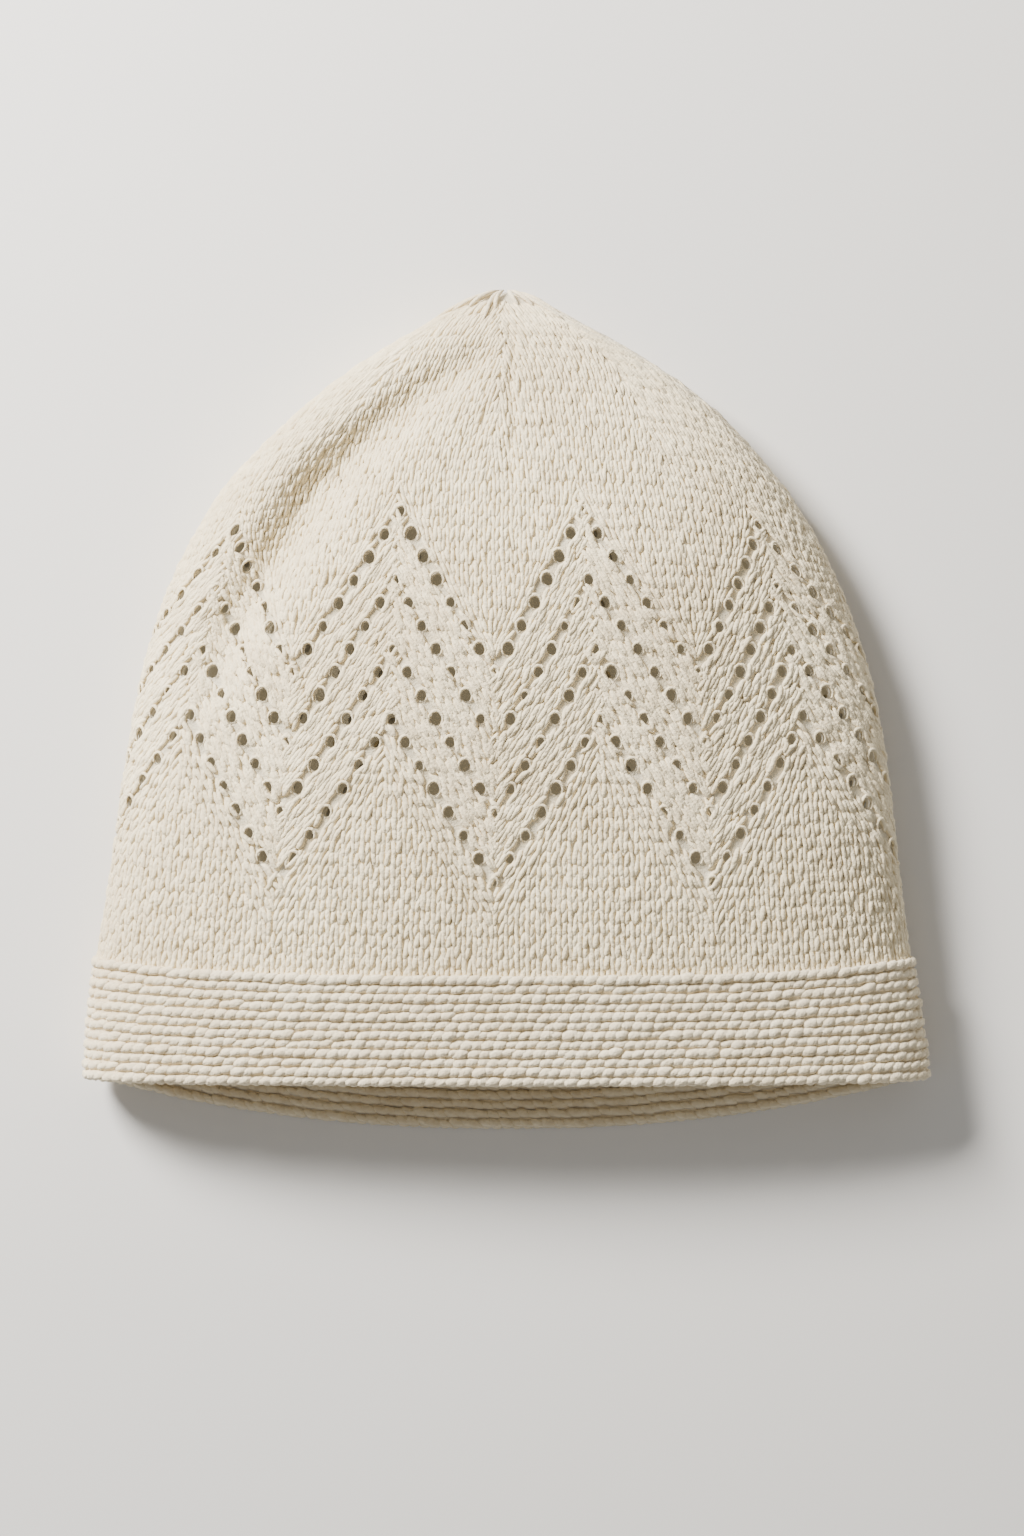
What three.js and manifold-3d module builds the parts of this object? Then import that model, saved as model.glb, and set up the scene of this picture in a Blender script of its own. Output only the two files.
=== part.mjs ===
// Kufi cap, knitted in cream cotton, lying on its back.
// Millimetres. +Z is up, +X is the wearer's left side, +Y points from the mouth to the tip.
// The origin is the middle of the cap's footprint, on the surface that it lies on.

import * as THREE from "three";
import { mergeVertices } from "three/addons/utils/BufferGeometryUtils.js";
import Module from "manifold-3d";

// Sizes of the knitting
const BODY_WALL = 2.5;
const BAND_WALL = 3.0;
const BODY_ROWS = 60;
const BAND_RIDGES = 12;
const FRONT_STITCHES = 82;
const BACK_STITCHES = 86;
const PIECE_GAP = 0.3;

// Sizes of the brim band: how far its ridges and the grooves between them stand out of the body's line
const RIDGE_HEIGHT = 1.1;
const GROOVE_HEIGHT = 0.4;
const INNER_RIBS = 6;
const INNER_RIB_HEIGHT = 0.5;

// Where the rim, the band's top edge and the tip lie along Y, measured from the lowest point of the back rim
const FRONT_LINE = { rim: 13.3, bandTop: 41.7 };
const SIDE_LINE = { rim: 13.8, bandTop: 45.5 };
const BACK_LINE = { rim: 0, bandTop: 29.5 };
const TIP_LINE = 219.9;
const FRONT_LINE_BEND = 3.5;
const BACK_LINE_BEND = 2.2;

// How far a row of the crown hangs lower at the side folds than at the middle of the front
const ROW_DROOP = 20;
const ROW_DROOP_START = 0.45;

// The flattened cap's outline from above: half widths at each height along Y
const OUTLINE = [
  { height: 13.8, left: 109.4, right: 109.8 },
  { height: 30, left: 108.3, right: 107.6 },
  { height: 45.5, left: 106.4, right: 105.2 },
  { height: 73, left: 102.2, right: 101.7 },
  { height: 94, left: 99.3, right: 99.3 },
  { height: 115, left: 95.6, right: 95.6 },
  { height: 131, left: 91.6, right: 91.0 },
  { height: 146, left: 86.0, right: 85.0 },
  { height: 157, left: 80.2, right: 79.4 },
  { height: 167, left: 74.0, right: 73.0 },
  { height: 177.5, left: 64.6, right: 64.4 },
  { height: 188, left: 53.6, right: 54.2 },
  { height: 198, left: 40.6, right: 40.6 },
  { height: 208.5, left: 23.8, right: 22.8 },
  { height: 213.8, left: 14.4, right: 12.8 },
  { height: 217.6, left: 7.6, right: 6.6 },
  { height: 219.9, left: 0, right: 0 },
];

// The section across the cap at each course: 0 is the rim, 1 the tip.
// fold is the height of the side folds, edge that of the front just inside them, crest that of its middle.
const SECTION = [
  { course: 0, fold: 10.5, edge: 21, crest: 28 },
  { course: 0.14, fold: 11, edge: 23, crest: 31 },
  { course: 0.35, fold: 11, edge: 24, crest: 34 },
  { course: 0.6, fold: 10.5, edge: 23, crest: 33 },
  { course: 0.78, fold: 9.5, edge: 19.5, crest: 27 },
  { course: 0.9, fold: 8, edge: 15.5, crest: 20 },
  { course: 1, fold: 6.5, edge: 11, crest: 14 },
];
const FOLD_RADIUS = 5;
const UNDER_FOLD_REACH = 11;
const BAND_COURSE = 0.14;

// The tip closes round this height, from this course on
const TIP_HEIGHT = 7;
const TIP_START = 0.93;

// The soft valley that runs down the left of the front, with a full roll outside it
const VALLEY = [
  { x: -9, y: 204, depth: 0.6, reach: 5 },
  { x: -25, y: 193, depth: 2.2, reach: 6.5 },
  { x: -43, y: 177, depth: 4.0, reach: 8 },
  { x: -51, y: 169, depth: 4.6, reach: 8.5 },
  { x: -62, y: 152, depth: 4.6, reach: 9 },
  { x: -74, y: 131, depth: 3.2, reach: 8 },
  { x: -78, y: 118, depth: 1.2, reach: 7 },
];

// Low swells of the soft front
const SWELLS = [
  { x: 35, y: 150, height: 1.2, reach: 26 },
  { x: -20, y: 120, height: 1.0, reach: 24 },
  { x: 62, y: 100, height: -1.0, reach: 22 },
  { x: 5, y: 78, height: -0.8, reach: 26 },
];

// The lowest of the four zigzag lines of eyelets, worked all round
const EYELET = {
  repeats: 8,
  legSteps: 7,
  rowsPerStep: 2,
  valleyRow: 8,
  centreShift: -1,
  radius: 1.15,
  sides: 6,
};

// How finely the solids are faceted
const FRONT_COLUMNS = 28;
const BACK_COLUMNS = 19;
const FRONT_CROWDING = 0.3;
const BACK_CROWDING = 0.68;
const BODY_LEVELS = 18;
const RING_SAMPLES = 180;

const COTTON = 0xe8e0d0;
const BAND_COTTON = 0xe6ddcc;

const FRONT = 1;
const BACK = -1;
const clamp = THREE.MathUtils.clamp;
const lerp = THREE.MathUtils.lerp;

// A smooth value from a short table, through every row
function readTable(rows, key, column, at) {
  const last = rows.length - 1;
  let low = 0;
  while (low < last - 1 && rows[low + 1][key] < at) low++;
  const a = rows[low];
  const b = rows[low + 1];
  const span = b[key] - a[key];
  const slope = (i) => {
    const before = rows[Math.max(i - 1, 0)];
    const after = rows[Math.min(i + 1, last)];
    return (after[column] - before[column]) / (after[key] - before[key]);
  };
  const s = clamp((at - a[key]) / span, 0, 1);
  const s2 = s * s;
  const s3 = s2 * s;
  return (
    (2 * s3 - 3 * s2 + 1) * a[column] +
    (s3 - 2 * s2 + s) * span * slope(low) +
    (3 * s2 - 2 * s3) * b[column] +
    (s3 - s2) * span * slope(low + 1)
  );
}

// Height along Y of a course, on the line up the front, the side folds or the back
function lineHeight(line, course) {
  if (course < BAND_COURSE) return lerp(line.rim, line.bandTop, course / BAND_COURSE);
  return lerp(line.bandTop, TIP_LINE, (course - BAND_COURSE) / (1 - BAND_COURSE));
}

function sideHeight(course) {
  const up = clamp((course - ROW_DROOP_START) / (1 - ROW_DROOP_START), 0, 1);
  return lineHeight(SIDE_LINE, course) - ROW_DROOP * 4 * up * up * (1 - up);
}

// Depth of the soft valley and the swells at a place on the front
function frontRelief(x, y) {
  let nearest = Infinity;
  let depth = 0;
  for (let i = 1; i < VALLEY.length; i++) {
    const a = VALLEY[i - 1];
    const b = VALLEY[i];
    const run = [b.x - a.x, b.y - a.y];
    const along = ((x - a.x) * run[0] + (y - a.y) * run[1]) / (run[0] ** 2 + run[1] ** 2);
    const s = clamp(along, 0, 1);
    const away = Math.hypot(x - a.x - s * run[0], y - a.y - s * run[1]) / lerp(a.reach, b.reach, s);
    if (away < nearest) {
      nearest = away;
      depth = lerp(a.depth, b.depth, s) * Math.exp(-away * away);
    }
  }
  let swell = 0;
  for (const s of SWELLS) swell += s.height * Math.exp(-((x - s.x) ** 2 + (y - s.y) ** 2) / s.reach ** 2);
  return swell - depth;
}

// A point of the cap's outer surface: across runs from -1 at the left fold to 1 at the right one
function surfacePoint(course, side, across) {
  const foldY = sideHeight(course);
  const column = across < 0 ? "left" : "right";
  const halfWidth = Math.max(readTable(OUTLINE, "height", column, foldY), 0);
  const fold = readTable(SECTION, "course", "fold", course);
  const edge = readTable(SECTION, "course", "edge", course);
  const crest = readTable(SECTION, "course", "crest", course);
  const away = Math.abs(across);
  const closing = clamp((course - TIP_START) / (1 - TIP_START), 0, 1);
  const open = Math.sqrt(Math.max(1 - closing * closing, 0));
  const x = across * halfWidth;
  let y;
  let z;
  if (side === FRONT) {
    const roundness = Math.max((2 * halfWidth * FOLD_RADIUS) / (edge - fold) ** 2, 2);
    const shoulder = Math.sqrt(Math.max(1 - away ** roundness, 0));
    y = lerp(lineHeight(FRONT_LINE, course), foldY, away ** FRONT_LINE_BEND);
    z = fold + (edge - fold) * shoulder + (crest - edge) * (1 - away * away);
    z += frontRelief(x, y) * shoulder;
  } else {
    const reach = Math.min(UNDER_FOLD_REACH, halfWidth * 0.8);
    const into = clamp((away * halfWidth - (halfWidth - reach)) / Math.max(reach, 1e-6), 0, 1);
    y = lerp(lineHeight(BACK_LINE, course), foldY, away ** BACK_LINE_BEND);
    z = fold * (1 - Math.sqrt(Math.max(1 - into * into, 0)));
  }
  return new THREE.Vector3(x, y, TIP_HEIGHT + (z - TIP_HEIGHT) * open);
}

// One course of the front or back, with the length walked so far at each sample
const walks = new Map();
function walkCourse(course, side) {
  const key = side + ":" + course;
  if (walks.has(key)) return walks.get(key);
  const points = [];
  const walked = [0];
  for (let i = 0; i <= RING_SAMPLES; i++) {
    const across = -Math.cos((Math.PI * i) / RING_SAMPLES);
    points.push(surfacePoint(course, side, across));
    if (i) walked.push(walked[i - 1] + points[i].distanceTo(points[i - 1]));
  }
  walks.set(key, { points, walked });
  return walks.get(key);
}

// The place at a share of a course's length: share runs from -1 at the left fold to 1 at the right one
function placeOnCourse(course, side, share) {
  const { points, walked } = walkCourse(course, side);
  const target = ((share + 1) / 2) * walked[RING_SAMPLES];
  let i = 1;
  while (i < RING_SAMPLES && walked[i] < target) i++;
  const step = Math.max(walked[i] - walked[i - 1], 1e-9);
  return points[i - 1].clone().lerp(points[i], clamp((target - walked[i - 1]) / step, 0, 1));
}

// Round a course, the front from the left fold to the right one and then the back from right to left
function placeRound(course, turn) {
  const t = ((turn % 2) + 2) % 2;
  return t <= 1 ? placeOnCourse(course, FRONT, 2 * t - 1) : placeOnCourse(course, BACK, 3 - 2 * t);
}

// Outward direction of the surface
function outward(course, turn) {
  const step = 0.004;
  const low = Math.max(course - step, 0);
  const high = Math.min(course + step, 0.999);
  const up = placeRound(high, turn).sub(placeRound(low, turn));
  const round = placeRound(course, turn + step).sub(placeRound(course, turn - step));
  return up.cross(round).normalize().negate();
}

// The columns of facets, crowded towards the folds
function columnTurns() {
  const turns = [];
  const crowd = (s, crowding) => (1 - crowding) * s + crowding * Math.sin((Math.PI * s) / 2);
  for (let i = 0; i < FRONT_COLUMNS; i++) turns.push((crowd((2 * i) / FRONT_COLUMNS - 1, FRONT_CROWDING) + 1) / 2);
  for (let i = 0; i < BACK_COLUMNS; i++) turns.push((crowd((2 * i) / BACK_COLUMNS - 1, BACK_CROWDING) + 3) / 2);
  return turns;
}
const TURNS = columnTurns();

// A ring of points at a course, moved outwards by offset and never below the surface that the cap lies on
function ring(course, offset) {
  return TURNS.map((turn) => {
    const p = placeRound(course, turn).addScaledVector(outward(course, turn), offset);
    p.z = Math.max(p.z, 0);
    return p;
  });
}

// A closed solid from rings joined one to the next. A ring of one point closes an end, and with none the last
// ring joins the first.
function solidFromRings(rings, looped) {
  const positions = [];
  const starts = rings.map((points) => {
    const start = positions.length / 3;
    for (const p of points) positions.push(p.x, p.y, p.z);
    return start;
  });
  const triangles = [];
  const count = TURNS.length;
  const steps = looped ? rings.length : rings.length - 1;
  for (let i = 0; i < steps; i++) {
    const j = (i + 1) % rings.length;
    for (let k = 0; k < count; k++) {
      const a0 = starts[i] + (rings[i].length > 1 ? k : 0);
      const a1 = starts[i] + (rings[i].length > 1 ? (k + 1) % count : 0);
      const b0 = starts[j] + (rings[j].length > 1 ? k : 0);
      const b1 = starts[j] + (rings[j].length > 1 ? (k + 1) % count : 0);
      if (a0 !== a1) triangles.push(a0, a1, b0);
      if (b0 !== b1) triangles.push(a1, b1, b0);
    }
  }
  const geometry = new THREE.BufferGeometry();
  geometry.setAttribute("position", new THREE.Float32BufferAttribute(positions, 3));
  geometry.setIndex(triangles);
  return geometry;
}

const wasm = await Module();
wasm.setup();

function toSolid(geometry) {
  const bare = geometry.clone();
  bare.deleteAttribute("normal");
  bare.deleteAttribute("uv");
  const merged = mergeVertices(bare, 1e-4);
  return new wasm.Manifold(
    new wasm.Mesh({
      numProp: 3,
      vertProperties: merged.attributes.position.array,
      triVerts: new Uint32Array(merged.index.array),
    }),
  );
}

function toGeometry(solid) {
  const mesh = solid.getMesh();
  const geometry = new THREE.BufferGeometry();
  geometry.setAttribute("position", new THREE.Float32BufferAttribute(mesh.vertProperties, 3));
  geometry.setIndex(new THREE.Uint32BufferAttribute(mesh.triVerts, 1));
  return geometry;
}

// The courses of the body's facets, closer together where the crown rounds into the tip
function bodyCourses(start, end) {
  const courses = [];
  for (let i = 0; i <= BODY_LEVELS; i++) {
    const s = i / BODY_LEVELS;
    courses.push(lerp(start, end, s + 0.35 * s * (1 - s)));
  }
  return courses;
}

// Where each eyelet of the zigzag line lies: its course, and its turn round the cap
function eyeletPlaces() {
  const places = [];
  const stitches = FRONT_STITCHES + BACK_STITCHES;
  const stepsRound = 2 * EYELET.legSteps * EYELET.repeats;
  for (let i = 0; i < stepsRound; i++) {
    const inRepeat = i % (2 * EYELET.legSteps);
    const climb = Math.min(inRepeat, 2 * EYELET.legSteps - inRepeat);
    const row = EYELET.valleyRow + climb * EYELET.rowsPerStep;
    const course = BAND_COURSE + ((1 - BAND_COURSE) * row) / BODY_ROWS;
    const stitch = (i * stitches) / stepsRound + FRONT_STITCHES / 2 + EYELET.centreShift;
    const onFront = ((stitch % stitches) + stitches) % stitches;
    const turn =
      onFront <= FRONT_STITCHES ? onFront / FRONT_STITCHES : 1 + (onFront - FRONT_STITCHES) / BACK_STITCHES;
    places.push({ course, turn });
  }
  return places;
}

// All the eyelets as one set of short prisms that stand across the wall
function eyeletPrisms() {
  const positions = [];
  const triangles = [];
  const along = new THREE.Vector3(0, 1, 0);
  for (const { course, turn } of eyeletPlaces()) {
    const out = outward(course, turn);
    const prism = new THREE.CylinderGeometry(EYELET.radius, EYELET.radius, BODY_WALL * 2.4, EYELET.sides);
    prism.deleteAttribute("normal");
    prism.deleteAttribute("uv");
    const closed = mergeVertices(prism, 1e-4);
    closed.applyQuaternion(new THREE.Quaternion().setFromUnitVectors(along, out));
    const middle = placeRound(course, turn).addScaledVector(out, -BODY_WALL / 2);
    closed.translate(middle.x, middle.y, middle.z);
    const start = positions.length / 3;
    positions.push(...closed.attributes.position.array);
    for (const index of closed.index.array) triangles.push(start + index);
  }
  const geometry = new THREE.BufferGeometry();
  geometry.setAttribute("position", new THREE.Float32BufferAttribute(positions, 3));
  geometry.setIndex(triangles);
  return geometry;
}

// The knitted body: one wall from the band's top edge to the tip, hollow and open at the band
function knittedBody() {
  const start = BAND_COURSE + PIECE_GAP / (TIP_LINE - FRONT_LINE.bandTop);
  const outer = bodyCourses(start, 1).map((course) => ring(course, 0));
  const inner = bodyCourses(start, 0.985).map((course) => ring(course, -BODY_WALL));
  const tip = placeRound(1, 0.5);
  outer[outer.length - 1] = [tip];
  inner[inner.length - 1] = [tip.clone().setY(tip.y - BODY_WALL)];
  const shell = toSolid(solidFromRings([...inner.reverse(), ...outer], false));
  return toGeometry(shell.subtract(toSolid(eyeletPrisms())));
}

// The brim band: a ring of ridges that run round the cap, proud of the body inside and out
function brimBand() {
  const outer = [];
  for (let i = 0; i <= 2 * BAND_RIDGES; i++) {
    const height = i % 2 ? RIDGE_HEIGHT : GROOVE_HEIGHT;
    outer.push(ring((BAND_COURSE * i) / (2 * BAND_RIDGES), height));
  }
  const inner = [];
  for (let i = 0; i <= 2 * INNER_RIBS; i++) {
    const height = i % 2 ? INNER_RIB_HEIGHT : 0;
    inner.push(ring((BAND_COURSE * i) / (2 * INNER_RIBS), RIDGE_HEIGHT - BAND_WALL - height));
  }
  return solidFromRings([...outer, ...inner.reverse()], true);
}

function named(name, geometry, color) {
  const material = new THREE.MeshStandardMaterial({ color, roughness: 0.95, metalness: 0 });
  const mesh = new THREE.Mesh(geometry, material);
  mesh.name = name;
  return mesh;
}

const cap = new THREE.Group();
cap.add(named("knitted_body", knittedBody(), COTTON));
cap.add(named("brim_band", brimBand(), BAND_COTTON));

// The footprint's middle goes to the origin
const footprint = new THREE.Box3().setFromObject(cap);
const middle = footprint.getCenter(new THREE.Vector3());
cap.position.set(-middle.x, -middle.y, -footprint.min.z);

export default cap;
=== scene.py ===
# Kufi cap, knitted in cream cotton, lying on its back on a pale table.
# Lengths are in millimetres in the cap's own measure, with Y from the back rim to the tip. They go to metres
# once, where a mesh is made.

import bmesh
import bpy
import numpy as np
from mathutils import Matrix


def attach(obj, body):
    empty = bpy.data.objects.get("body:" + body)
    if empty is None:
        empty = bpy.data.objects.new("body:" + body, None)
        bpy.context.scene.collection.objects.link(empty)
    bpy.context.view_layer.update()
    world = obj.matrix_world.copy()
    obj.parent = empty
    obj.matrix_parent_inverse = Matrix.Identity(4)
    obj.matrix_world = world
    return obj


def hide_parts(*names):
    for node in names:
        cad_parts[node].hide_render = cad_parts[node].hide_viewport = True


bl_info = {
    "name": "Kufi cap",
    "version": (1, 0, 0),
    "blender": (4, 5, 0),
    "location": "3D View > Sidebar > Kufi",
    "description": "Knits a kufi cap stitch by stitch over its packed solids",
    "category": "Object",
}

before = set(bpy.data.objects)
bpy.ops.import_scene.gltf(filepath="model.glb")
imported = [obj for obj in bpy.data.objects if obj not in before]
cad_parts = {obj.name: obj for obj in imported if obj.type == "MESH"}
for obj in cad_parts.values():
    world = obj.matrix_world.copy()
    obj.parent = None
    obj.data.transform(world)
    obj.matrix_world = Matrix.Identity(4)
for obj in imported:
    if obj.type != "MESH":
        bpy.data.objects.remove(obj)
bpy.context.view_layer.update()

MM = 0.001
TINY = 1e-12
MOST_TRIANGLES = 200000

# Stitches round the cap, rows up the body, and ridges of the band
FRONT_STITCHES = 82
BACK_STITCHES = 86
STITCHES = FRONT_STITCHES + BACK_STITCHES
BODY_ROWS = 60
BAND_RIDGES = 12

# A course runs from 0 at the rim, through this share at the band's top edge, to 1 at the tip
BAND_COURSE = 0.14

# The cap's lines from above, along Y: the tip, then the rim and the band's top edge in front, at the sides
# and behind
TIP_LINE = 219.9
TIP_HEIGHT = 7
TIP_START = 0.93
FRONT_LINE = (13.3, 41.7)
SIDE_LINE = (13.8, 45.5)
BACK_LINE = (0, 29.5)
FRONT_LINE_BEND = 3.5
BACK_LINE_BEND = 2.2

# Rows hang lower at the sides of the crown, by this much and from this course on
ROW_DROOP = 20
ROW_DROOP_START = 0.45

# How round the side folds are, and how far in the back curves up to them
FOLD_RADIUS = 5
UNDER_FOLD_REACH = 11
UNDER_FOLD_SHARE = 0.8

# The outline from above: height along Y, half width on the left, half width on the right
OUTLINE = np.array([
    (13.8, 109.4, 109.8),
    (30, 108.3, 107.6),
    (45.5, 106.4, 105.2),
    (73, 102.2, 101.7),
    (94, 99.3, 99.3),
    (115, 95.6, 95.6),
    (131, 91.6, 91.0),
    (146, 86.0, 85.0),
    (157, 80.2, 79.4),
    (167, 74.0, 73.0),
    (177.5, 64.6, 64.4),
    (188, 53.6, 54.2),
    (198, 40.6, 40.6),
    (208.5, 23.8, 22.8),
    (213.8, 14.4, 12.8),
    (217.6, 7.6, 6.6),
    (219.9, 0, 0),
])

# The section across the cap: course, height of the side folds, of the edge inside them, of the crest
SECTION = np.array([
    (0, 10.5, 21, 28),
    (0.14, 11, 23, 31),
    (0.35, 11, 24, 34),
    (0.6, 10.5, 23, 33),
    (0.78, 9.5, 19.5, 27),
    (0.9, 8, 15.5, 20),
    (1, 6.5, 11, 14),
])

# The soft valley down the left of the front: x, y, depth, reach
VALLEY = np.array([
    (-9, 204, 0.6, 5),
    (-25, 193, 2.2, 6.5),
    (-43, 177, 4.0, 8),
    (-51, 169, 4.6, 8.5),
    (-62, 152, 4.6, 9),
    (-74, 131, 3.2, 8),
    (-78, 118, 1.2, 7),
])

# The cloth sinks further and more steeply into the valley than the rigid wall, a little nearer the middle
VALLEY_DEEPER = 1.6
VALLEY_NARROWER = 0.82
VALLEY_MOVED = (3.0, -2.5)
VALLEY[:, 2] *= VALLEY_DEEPER
VALLEY[:, 3] *= VALLEY_NARROWER
VALLEY[:, :2] += VALLEY_MOVED

# Low swells of the soft front: x, y, height, reach
SWELLS = ((35, 150, 1.2, 26), (-20, 120, 1.0, 24), (62, 100, -1.0, 22), (5, 78, -0.8, 26))

# The narrow crease from the tip down the crown: its line and half width along X, its waver, its two ends
# along Y, and the height that it stays above
CREASE_LINE = 1.5
CREASE_WIDTH = 1.0
CREASE_WAVER = 0.5
CREASE_WAVES = 0.35
CREASE_LOW_END = (167, 3)
CREASE_HIGH_END = (212, 6)
CREASE_LOWEST = 8

# The four zigzag lines of eyelets, one above the other, with an eyelet at every second row of each leg
EYELET_REPEATS = 8
EYELET_LEG_STEPS = 7
EYELET_STEP_ROWS = 2
EYELET_VALLEY_ROW = 8
EYELET_LINES = 4
LINE_ROWS = 6
REPEAT_STITCHES = STITCHES / EYELET_REPEATS
VALLEY_STITCH = FRONT_STITCHES / 2 - 1

# Eyelets vary in size, and those at the low and the high turns of a line are smaller
EYELET_VARIETY = 0.1
LOW_TURN_SIZE = 0.72
HIGH_TURN_SIZE = 0.85
EYELET_SIZE_LIMITS = (0.6, 1.2)
TURN_REACH = 0.2

# Yarn keeps this far from an eyelet's edge, is moved within this many of its radii, and is left out when it
# would cross the hole
EYELET_MARGIN = (0.62, 0.5)
MOVED_WITHIN = 4
LEFT_OUT_WITHIN = 0.42

# Legs stand up where they pass an eyelet: by how much, how many radii off, and how fast that fades
EDGE_HEIGHT = 0.2
EDGE_PLACE = 1.1
EDGE_FADE = 0.1

# The loop over each eyelet: degrees each way from its top, rings, distance from the eyelet's edge, depth, lift,
# share of the yarn's thickness, tilt and variety
LOOP_TURN = 158
LOOP_RINGS = 10
LOOP_MARGIN = (0.36, 0.3)
LOOP_DEPTH = 0.7
LOOP_LIFT = 0.68
LOOP_THICKNESS = 0.62
LOOP_TILT = 0.12
LOOP_VARIETY = 0.03

# Wales between the lines lean with them: stitches to a row, their spacing, and wales from the lowest line up
LEAN = 0.75
LACE_SPACING = 0.9
LACE_WALES = 15

# How far the stitches of two legs overlap at the low and the high turns of the zigzag
LOW_OVERLAP = 0.15
HIGH_OVERLAP = 0.2

# Plain knitting starts this many wales off the lines, and its lean fades out below and above them
PLAIN_GAP = 0.62
FADE_START = 0.6
FADE_BELOW = 5
FADE_ABOVE = 3.5

# The crown starts at this row, and its wales narrow to the tip
CROWN_ROW = 43
CROWN_WALES = 10
CROWN_NARROWING = 0.9

# A leg of a stitch: its start, slant and reach in stitch widths and row heights, the bend of its slant, its
# depth and lift, its thickness and the most of it for its width, and the rows that it stays within
LEG_START = 0.06
LEG_SLANT = 0.36
LEG_REACH = 0.96
LEG_BEND = 0.9
LEG_DEPTH = 0.84
LEG_LIFT = 0.46
LEG_THICKNESS = 0.85
LEG_ROUNDEST = 1.15
LEG_ROWS = (-0.6, BODY_ROWS - 0.4)
MEASURED_ROWS = (0.3, BODY_ROWS - 0.8)

# Plain legs, and those between the eyelets, where each wale is drawn into a smooth rope: the step down from
# stitch to stitch, how far they stray along the wale, how they rise, and the share of the width they fill
PLAIN_LEG = (0.38, 0.36, 0.45, 0.285)
ROPE_LEG = (0.12, 0.75, 0.25, 0.325)
STEP_BEND = 2.5

# How uneven hand knitting is: stitches and rows off the net, legs sideways and in depth, their size, the yarn
STITCH_STRAY = 0.035
ROW_STRAY = 0.03
LEG_STRAY = 0.1
LIFT_STRAY = 0.1
LEG_VARIETY = 0.09
UNEVEN_YARN = 0.055

# The cloth behind the yarn: its depth, its thickness, its lowest row, and its two net points to each stitch
CLOTH_DEPTH = 0.85
CLOTH_THICKNESS = 1.5
CLOTH_LOWEST_ROW = 0.12
CLOTH_COLUMNS = 2 * STITCHES
CLOTH_TIP = (0.9, 2.4)

# The drawn-in strands at the tip: how many, their rings, top, reach and twist, depth, lift, thickness, strays
TIP_STRANDS = 22
TIP_RINGS = 7
TIP_COURSE = 0.9985
TIP_REACH = 0.03
TIP_TWIST = 1.6
TIP_DEPTH = 0.3
TIP_LIFT = 0.55
TIP_THICKNESS = 0.75
TIP_STRAY = 0.2
TIP_VARIETY = 0.1

# The cloth of the band, between its ridges outside and inside
BAND_CLOTH_ENDS = (0.004, BAND_COURSE - 0.0012)
BAND_CLOTH_OUTSIDE = 0.15
BAND_CLOTH_INSIDE = -1.5

# Bumps of the ridges: rings, shift from ridge to ridge, slant, strays, variety, flatness, and depth and lift
# outside and inside
BUMP_RINGS = 6
BUMP_SHIFT = 0.37
BUMP_SLANT = 0.62
BUMP_STRAY_ROUND = 0.11
BUMP_STRAY_UP = 0.12
BUMP_STRAY_OUT = 0.05
BUMP_VARIETY = 0.1
BUMP_FLATNESS = 0.74
BUMP_OUTSIDE = (0.02, 0.36)
BUMP_INSIDE = (-1.3, -0.55)

# How proud the odd, the even and the top ridge are
ODD_RIDGE = 0.12
EVEN_RIDGE = -0.05
TOP_RIDGE = 0.2

# Bumps of the rim: their course, reach in stitches, depth and how it turns inwards, size and variety
RIM_COURSE = 0.0035
RIM_REACH = 0.7
RIM_DEPTH = 0.75
RIM_TURN = 0.35
RIM_SIZE = 0.95
RIM_VARIETY = 0.05

# How far below the table a piece would reach before it is pressed up, and over what height it is pressed
STITCH_PRESS = 0.35
BAND_CLOTH_PRESS = 1.1
RIDGE_PRESS = 1.25
PRESS_HEIGHT = 1.6

# How finely the surface is looked up
COURSE_STEPS = 340
TIP_STEPS = 60
TURN_STEPS = 720
SMOOTHED_STEPS = 3
POINTS_AT_ONCE = 8000

# Patterns of the yarn: patches that are warmer, stitches that differ, the twist of two plies, and the fuzz.
# Real fuzz is a few hundredths of a millimetre thick. It is drawn far coarser, so that it shows.
PATCH_MM = 38
STITCH_MM = 3.2
PLY_MM = 1.1
BAND_PLY_MM = 1.2
BODY_FUZZ_MM = 0.75
BAND_FUZZ_MM = 0.85
TIGHT_FUZZ_MM = 0.5

# Painted light: the cloth behind the yarn emits this colour at this strength, in place of light that comes
# through the thin knitting
PAINTED_GLOW_COLOUR = "#9A9380"
CLOTH_PAINTED_GLOW = 0.24

# The studio, in metres and watts
TABLE_SIZE = 24
TABLE_HEIGHT = -0.0002
ROOM_COLOUR = (1.0, 0.985, 0.96, 1)
ROOM_LIGHT = 0.37
LAMP_PLACE = (-0.62, 0.62, 0.58)
LAMP_SIZE = 0.35
LAMP_POWER = 42
LAMP_COLOUR = (1.0, 0.97, 0.93)
CAMERA_PLACE = (1.4 * MM, -15.4 * MM, 0.955)
CAMERA_LENS = 85
CAMERA_SENSOR = 36


# Shape of the cap


def unit(vectors):
    """The directions of vectors, each one long."""
    return vectors / np.maximum(np.linalg.norm(vectors, axis=-1, keepdims=True), TINY)


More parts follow.
